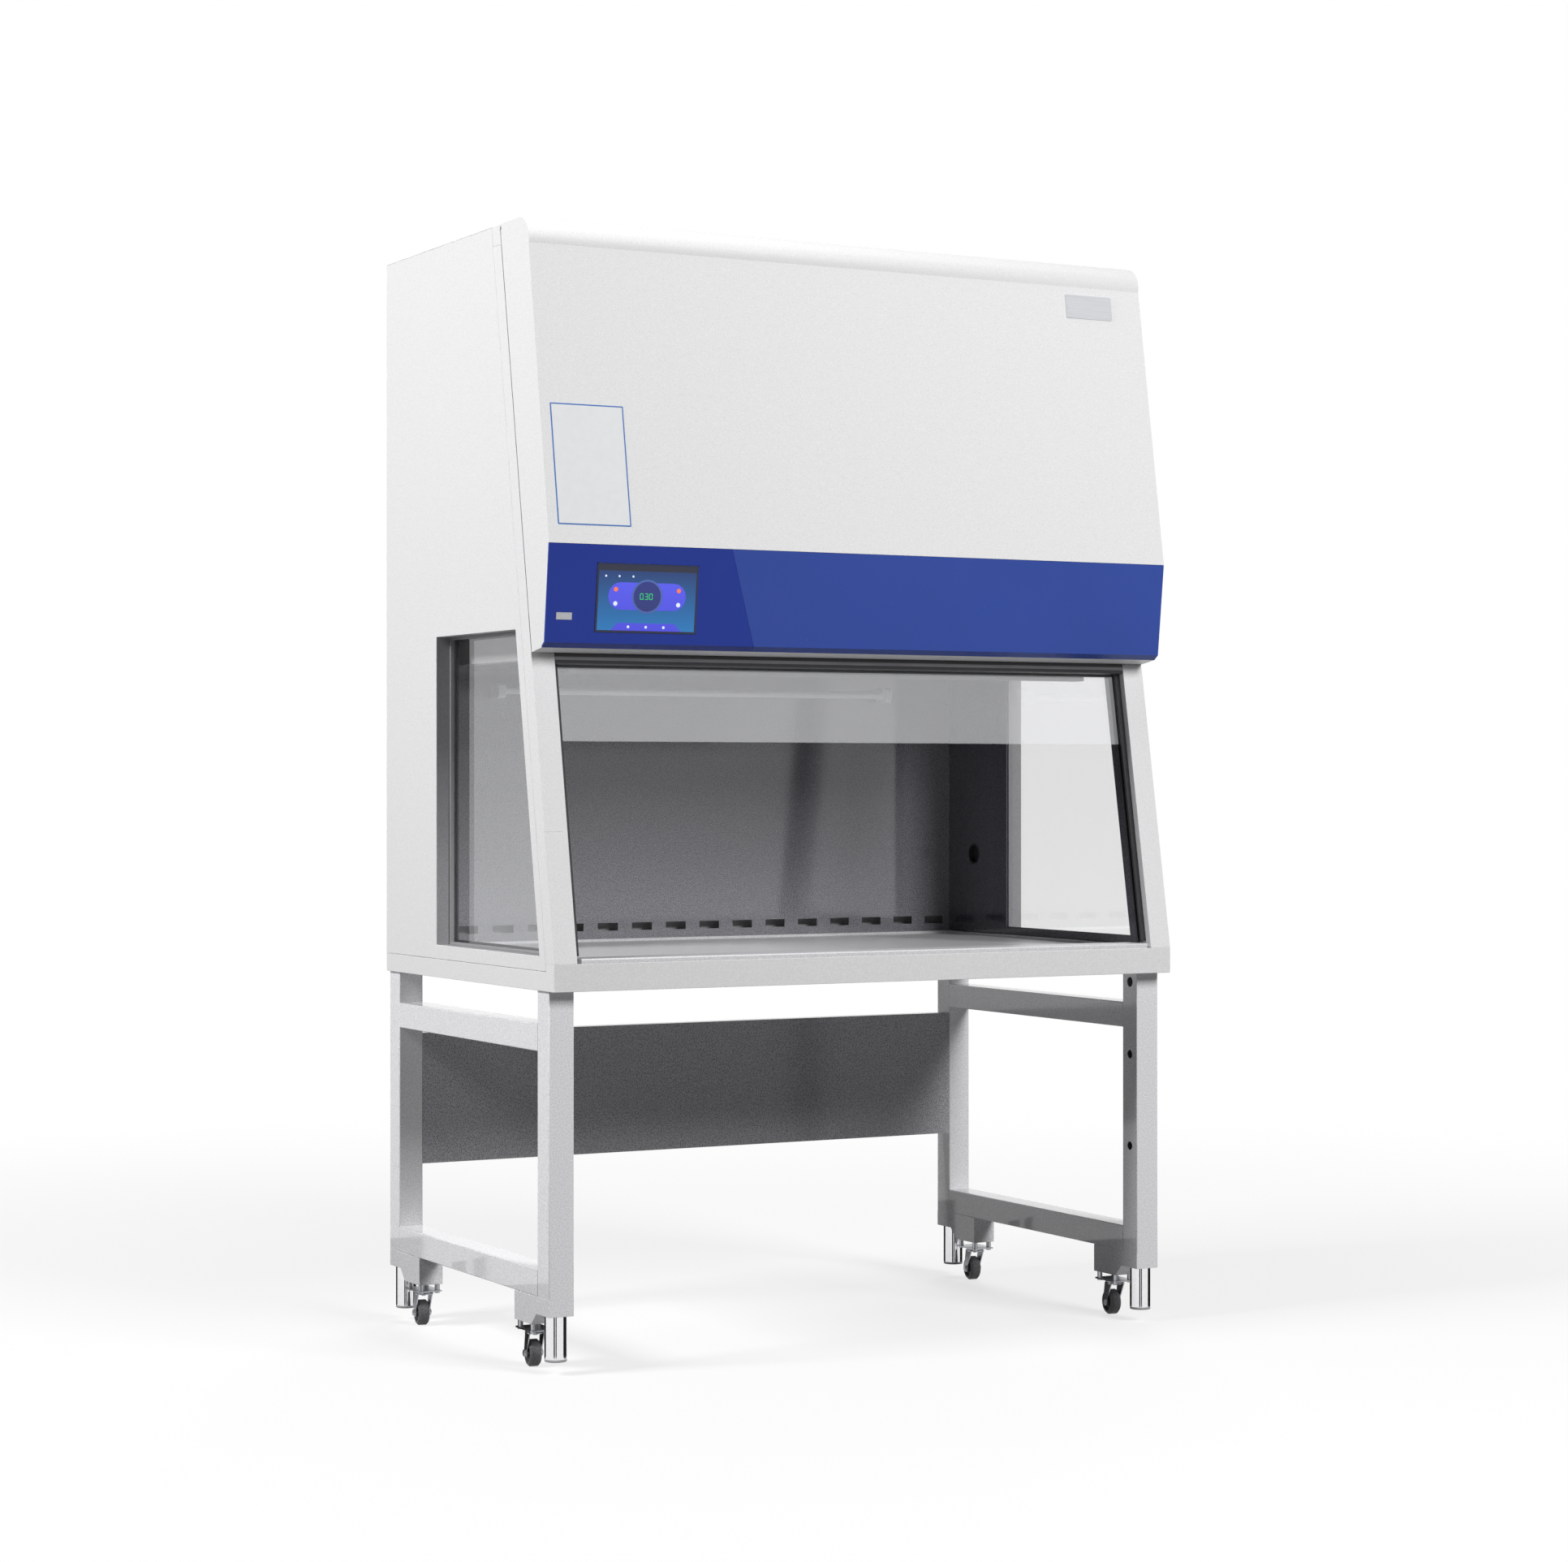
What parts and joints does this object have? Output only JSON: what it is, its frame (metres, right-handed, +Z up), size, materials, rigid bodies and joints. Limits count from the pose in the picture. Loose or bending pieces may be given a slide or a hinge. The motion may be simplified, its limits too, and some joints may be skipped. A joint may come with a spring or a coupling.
{
  "type": "biological safety cabinet",
  "caption": "Wheeled laboratory cabinet with a leaning front, sliding glass sash, lift-up hood over filters and blower, side windows and an open stand with casters and feet.",
  "frame": {"origin": "centre of the footprint on the floor, under the casters", "axes": "+Z up, +Y from the operator's side to the back, +X to the operator's right"},
  "size_m": [1.34, 0.806, 2.11],
  "materials": {
    "white_paint": "semi-gloss powder coat, white",
    "stand_paint": "fine speckled powder coat, light grey",
    "inner_sheet": "grey coated sheet, satin",
    "stainless": "brushed stainless",
    "clear_glass": "clear toughened glass",
    "black_rubber": "matte",
    "black_plastic": "matte",
    "grey_aluminium": "anodised",
    "shaft_steel": "ground",
    "motor_paint": "satin black",
    "blue_left": "gloss, deep blue",
    "blue_right": "gloss, blue",
    "screen": "gloss display glass",
    "lamp_white": "opal",
    "filter_white": "pleated medium in a light frame",
    "wheel_metal": "as pressed",
    "fork_steel": "zinc plated",
    "wheel_rubber": "grey rubber",
    "foot_chrome": "polished"
  },
  "bodies": {
    "root": {"base_pan": "white_paint", "drain_plug": "stainless", "frame_posts": "white_paint", "top_beam": "white_paint", "side_panels": "white_paint", "rear_panel": "white_paint", "top_panel": "white_paint", "power_inlet": "black_plastic", "window_frames": "inner_sheet", "window_panes": "clear_glass", "wall_seals": "black_rubber", "inner_walls": "stainless", "rear_wall": "stainless", "work_tray": "stainless", "front_grille": "stainless", "armrest": "stainless", "ceiling_front": "inner_sheet", "diffuser": "stainless", "lamp_tubes": "lamp_white", "sash_guides": "black_plastic", "header_bar": "grey_aluminium", "header_seals": "black_rubber", "drive_mounts": "inner_sheet", "sash_belts": "black_rubber", "sash_motor": "motor_paint", "frame_hinges": "white_paint", "supply_filter": "filter_white", "exhaust_filter": "filter_white", "plenum_box": "inner_sheet", "blower_housing": "inner_sheet", "blower_motor": "motor_paint", "electrical_box": "inner_sheet", "stand_frame": "stand_paint", "stand_back_panel": "stand_paint", "foot_brackets": "stand_paint", "caster_mounts": "shaft_steel"},
    "sash": {"sash_glass": "clear_glass", "sash_carrier": "grey_aluminium"},
    "drive": {"drive_shaft": "shaft_steel"},
    "idlers": {"idler_pulleys": "black_plastic"},
    "hood": {"hood_shell": "white_paint", "fascia_left": "blue_left", "fascia_right": "blue_right", "touch_screen": "screen", "usb_socket": "shaft_steel", "hood_hinges": "white_paint"},
    "usb_cover": {"usb_cover": "shaft_steel"},
    "blower": {"blower_wheel": "wheel_metal"},
    "fork_front_left": {"caster_fork_front_left": "fork_steel"},
    "wheel_front_left": {"caster_wheel_front_left": "wheel_rubber"},
    "foot_front_left": {"levelling_foot_front_left": "foot_chrome"},
    "fork_front_right": {"caster_fork_front_right": "fork_steel"},
    "wheel_front_right": {"caster_wheel_front_right": "wheel_rubber"},
    "foot_front_right": {"levelling_foot_front_right": "foot_chrome"},
    "fork_rear_left": {"caster_fork_rear_left": "fork_steel"},
    "wheel_rear_left": {"caster_wheel_rear_left": "wheel_rubber"},
    "foot_rear_left": {"levelling_foot_rear_left": "foot_chrome"},
    "fork_rear_right": {"caster_fork_rear_right": "fork_steel"},
    "wheel_rear_right": {"caster_wheel_rear_right": "wheel_rubber"},
    "foot_rear_right": {"levelling_foot_rear_right": "foot_chrome"}
  },
  "joints": [
    {"name": "sash_slide", "type": "slide", "parent": "root", "child": "sash", "axis": [0, 0.1762, 0.9844], "range_m": [-0.395, 0.14]},
    {"name": "drive_turn", "type": "hinge", "parent": "root", "child": "drive", "pos_m": [0, -0.17218, 2.0365], "axis": [1, 0, 0], "range_deg": [-1429, 510]},
    {"name": "idler_turn", "type": "hinge", "parent": "root", "child": "idlers", "pos_m": [0, -0.29728, 1.33761], "axis": [1, 0, 0], "range_deg": [-1429, 510]},
    {"name": "hood_lift", "type": "hinge", "parent": "root", "child": "hood", "pos_m": [0, -0.16463, 2.1055], "axis": [-1, 0, 0], "range_deg": [0, 65]},
    {"name": "usb_cover_lift", "type": "hinge", "parent": "hood", "child": "usb_cover", "pos_m": [-0.634, -0.36662, 1.38046], "axis": [-1, 0, 0], "range_deg": [0, 100]},
    {"name": "blower_turn", "type": "hinge", "parent": "root", "child": "blower", "pos_m": [0, 0.277, 1.69], "axis": [0, 1, 0], "continuous": true},
    {"name": "swivel_front_left", "type": "hinge", "parent": "root", "child": "fork_front_left", "pos_m": [-0.6395, -0.2525, 0.06], "axis": [0, 0, 1], "continuous": true},
    {"name": "roll_front_left", "type": "hinge", "parent": "fork_front_left", "child": "wheel_front_left", "pos_m": [-0.63728, -0.23766, 0.025], "axis": [0.989, -0.1478, 0], "continuous": true},
    {"name": "level_front_left", "type": "slide", "parent": "root", "child": "foot_front_left", "axis": [0, 0, -1], "range_m": [0, 0.04]},
    {"name": "swivel_front_right", "type": "hinge", "parent": "root", "child": "fork_front_right", "pos_m": [0.6395, -0.2525, 0.06], "axis": [0, 0, 1], "continuous": true},
    {"name": "roll_front_right", "type": "hinge", "parent": "fork_front_right", "child": "wheel_front_right", "pos_m": [0.64172, -0.23766, 0.025], "axis": [0.989, -0.1478, 0], "continuous": true},
    {"name": "level_front_right", "type": "slide", "parent": "root", "child": "foot_front_right", "axis": [0, 0, -1], "range_m": [0, 0.04]},
    {"name": "swivel_rear_left", "type": "hinge", "parent": "root", "child": "fork_rear_left", "pos_m": [-0.6395, 0.2835, 0.06], "axis": [0, 0, 1], "continuous": true},
    {"name": "roll_rear_left", "type": "hinge", "parent": "fork_rear_left", "child": "wheel_rear_left", "pos_m": [-0.63728, 0.29834, 0.025], "axis": [0.989, -0.1478, 0], "continuous": true},
    {"name": "level_rear_left", "type": "slide", "parent": "root", "child": "foot_rear_left", "axis": [0, 0, -1], "range_m": [0, 0.04]},
    {"name": "swivel_rear_right", "type": "hinge", "parent": "root", "child": "fork_rear_right", "pos_m": [0.6395, 0.2835, 0.06], "axis": [0, 0, 1], "continuous": true},
    {"name": "roll_rear_right", "type": "hinge", "parent": "fork_rear_right", "child": "wheel_rear_right", "pos_m": [0.64172, 0.29834, 0.025], "axis": [0.989, -0.1478, 0], "continuous": true},
    {"name": "level_rear_right", "type": "slide", "parent": "root", "child": "foot_rear_right", "axis": [0, 0, -1], "range_m": [0, 0.04]}
  ],
  "couplings": [
    {"joint": "drive_turn", "follows": "sash_slide", "rad_per_m": 62.893},
    {"joint": "idler_turn", "follows": "sash_slide", "rad_per_m": 62.893}
  ]
}
